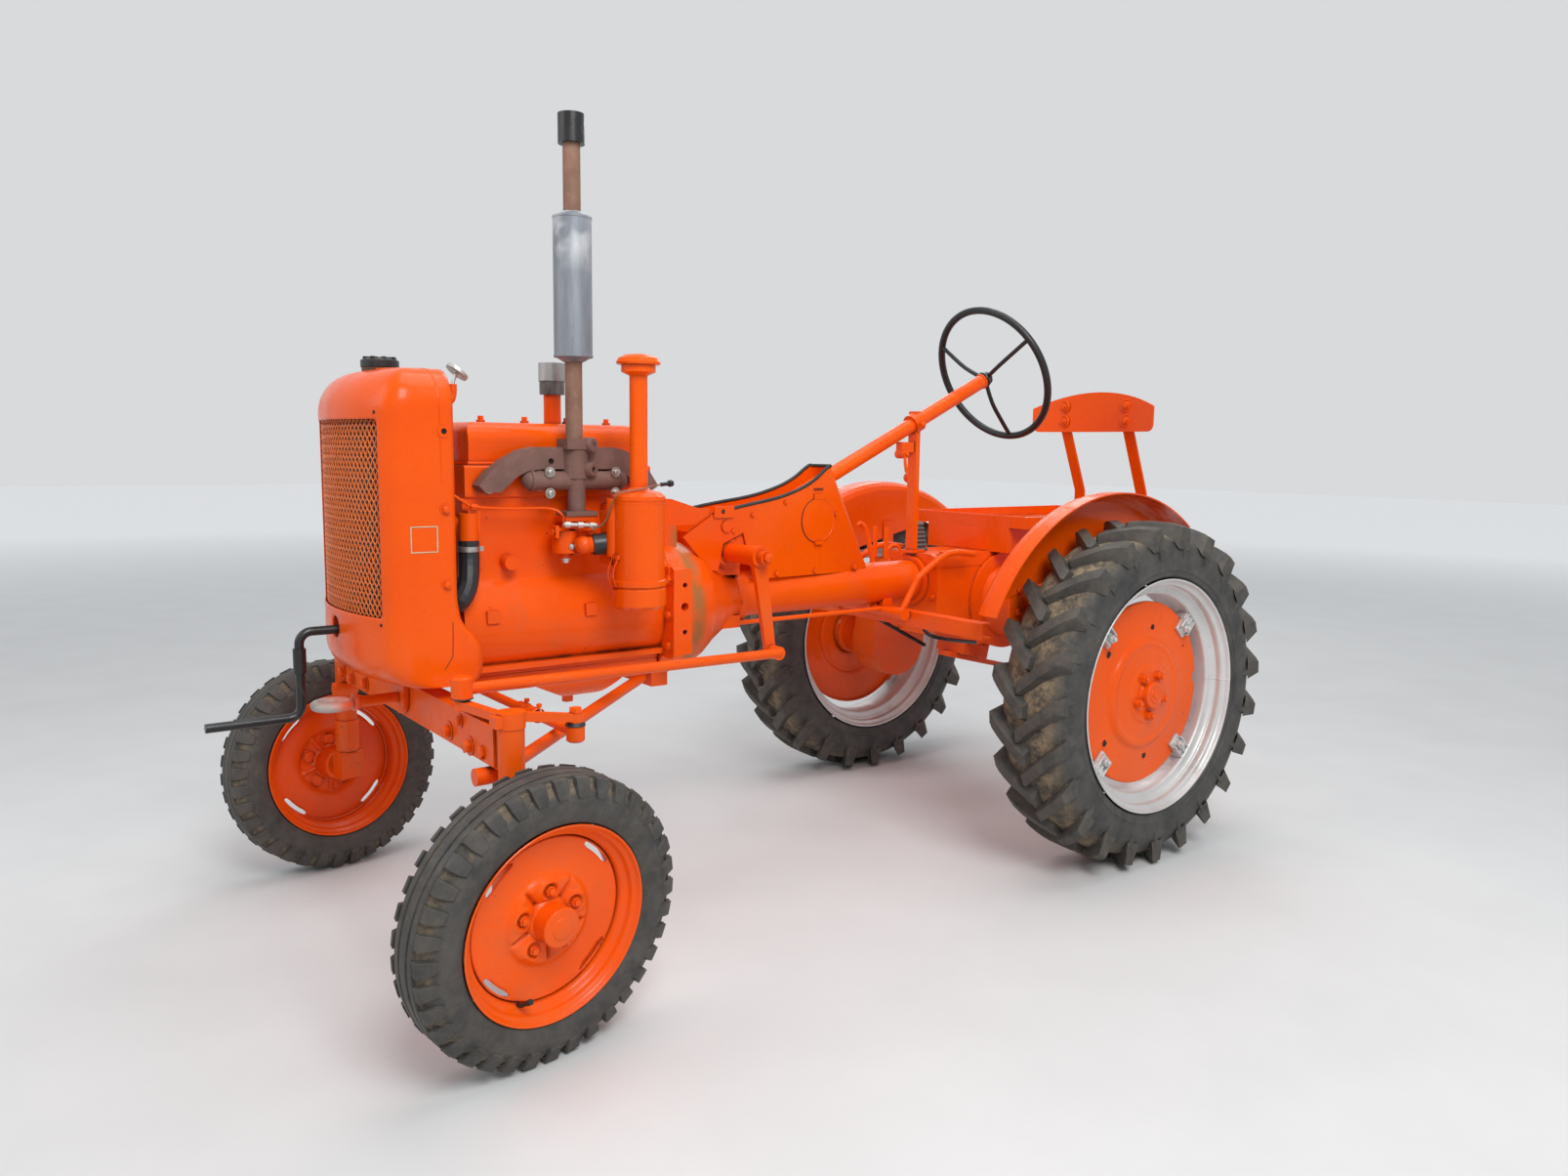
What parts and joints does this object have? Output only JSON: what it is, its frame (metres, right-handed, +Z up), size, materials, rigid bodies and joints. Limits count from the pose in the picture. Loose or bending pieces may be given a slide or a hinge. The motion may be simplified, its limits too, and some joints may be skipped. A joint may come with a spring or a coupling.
{
  "type": "vintage farm tractor",
  "caption": "Small orange vintage row-crop tractor without hood or seat cushion, with working steering, wheels, fan and starting crank.",
  "frame": {"origin": "on the ground under the middle of the whole machine", "axes": "+X forward, +Y to the machine's left, +Z up"},
  "size_m": [2.864, 1.443, 1.8349],
  "materials": {
    "orange_paint": "gloss enamel, some mud and worn edges",
    "rusty_casting": "brown surface rust",
    "rusty_pipe": "rusted pipe",
    "grey_muffler": "dull grey, streaked",
    "black_enamel": "black, worn at the edges",
    "bare_steel": "dull bright metal",
    "radiator_grey": "matte dark grey",
    "black_hose": "satin rubber",
    "tyre_rubber": "worn, dusty rubber",
    "silver_rim": "aluminium paint, stained"
  },
  "bodies": {
    "chassis": {"engine_block": "orange_paint", "oil_pan": "orange_paint", "cylinder_head": "orange_paint", "valve_cover": "orange_paint", "manifold": "rusty_casting", "carburettor": "orange_paint", "exhaust_pipe": "rusty_pipe", "muffler": "grey_muffler", "rain_cap": "black_enamel", "air_cleaner": "orange_paint", "breather": "orange_paint", "generator": "orange_paint", "radiator": "radiator_grey", "radiator_cap": "black_enamel", "temperature_gauge": "bare_steel", "coolant_hoses": "black_hose", "grille_shell": "orange_paint", "grille_mesh": "orange_paint", "axle_bolster": "orange_paint", "front_axle": "orange_paint", "radius_rods": "orange_paint", "tow_eye": "orange_paint", "bell_housing": "orange_paint", "tank_bracket": "orange_paint", "torque_tube": "orange_paint", "dash_panel": "orange_paint", "steering_box": "orange_paint", "steering_column": "orange_paint", "transmission": "orange_paint", "final_drives": "orange_paint", "footrest_bar": "orange_paint", "controls": "orange_paint", "drawbar": "orange_paint", "seat_base": "orange_paint", "seat_back": "orange_paint", "fender_left": "orange_paint", "fender_right": "orange_paint"},
    "fan": {"fan": "orange_paint"},
    "crank": {"crank_handle": "black_enamel"},
    "steering_wheel": {"steering_wheel": "black_enamel"},
    "pitman": {"pitman_arm": "orange_paint"},
    "drag_link": {"drag_link": "orange_paint"},
    "tie_rod": {"tie_rod": "orange_paint"},
    "knuckle_left": {"knuckle_left": "orange_paint"},
    "knuckle_right": {"knuckle_right": "orange_paint"},
    "front_left": {"front_wheel_left": "orange_paint", "front_tyre_left": "tyre_rubber"},
    "front_right": {"front_wheel_right": "orange_paint", "front_tyre_right": "tyre_rubber"},
    "rear_left": {"rear_disc_left": "orange_paint", "rear_rim_left": "silver_rim", "rear_tyre_left": "tyre_rubber"},
    "rear_right": {"rear_disc_right": "orange_paint", "rear_rim_right": "silver_rim", "rear_tyre_right": "tyre_rubber"}
  },
  "joints": [
    {"name": "steer_left", "type": "hinge", "parent": "chassis", "child": "knuckle_left", "pos_m": [1.011, 0.53, 0.484], "axis": [0, 0, 1], "range_deg": [-46, 29]},
    {"name": "steer_right", "type": "hinge", "parent": "chassis", "child": "knuckle_right", "pos_m": [1.011, -0.53, 0.484], "axis": [0, 0, 1], "range_deg": [-46, 29]},
    {"name": "tie_rod_pivot", "type": "hinge", "parent": "knuckle_left", "child": "tie_rod", "pos_m": [0.86957, 0.50886, 0.574], "axis": [0, 0, 1], "range_deg": [-29, 46]},
    {"name": "drag_link_pivot", "type": "hinge", "parent": "knuckle_left", "child": "drag_link", "pos_m": [1.03687, 0.35692, 0.652], "axis": [0, 0, 1], "range_deg": [-29, 46]},
    {"name": "pitman_swing", "type": "hinge", "parent": "chassis", "child": "pitman", "pos_m": [0.216, 0.205, 0.861], "axis": [0, 1, 0], "range_deg": [-21, 33]},
    {"name": "steering_wheel_turn", "type": "hinge", "parent": "chassis", "child": "steering_wheel", "pos_m": [-0.76967, 0, 1.34052], "axis": [-0.9011, 0, 0.4337], "range_deg": [-552, 348]},
    {"name": "front_left_spin", "type": "hinge", "parent": "knuckle_left", "child": "front_left", "pos_m": [0.99681, 0.62495, 0.27577], "axis": [-0.1474, 0.986, -0.0785], "continuous": true},
    {"name": "front_right_spin", "type": "hinge", "parent": "knuckle_right", "child": "front_right", "pos_m": [1.02519, -0.62495, 0.27577], "axis": [-0.1474, 0.986, 0.0785], "continuous": true},
    {"name": "rear_left_spin", "type": "hinge", "parent": "chassis", "child": "rear_left", "pos_m": [-0.792, 0.583, 0.472], "axis": [0, 1, 0], "continuous": true},
    {"name": "rear_right_spin", "type": "hinge", "parent": "chassis", "child": "rear_right", "pos_m": [-0.792, -0.583, 0.472], "axis": [0, 1, 0], "continuous": true},
    {"name": "fan_turn", "type": "hinge", "parent": "chassis", "child": "fan", "pos_m": [0.976, 0, 0.939], "axis": [1, 0, 0], "continuous": true},
    {"name": "crank_turn", "type": "hinge", "parent": "chassis", "child": "crank", "pos_m": [1.108, 0, 0.734], "axis": [1, 0, 0], "continuous": true}
  ],
  "couplings": [
    {"joint": "steer_right", "follows": "steer_left", "ratio": 1},
    {"joint": "tie_rod_pivot", "follows": "steer_left", "ratio": -1},
    {"joint": "drag_link_pivot", "follows": "steer_left", "ratio": -1},
    {"joint": "pitman_swing", "follows": "steer_left", "ratio": -0.7},
    {"joint": "steering_wheel_turn", "follows": "steer_left", "ratio": 12}
  ]
}
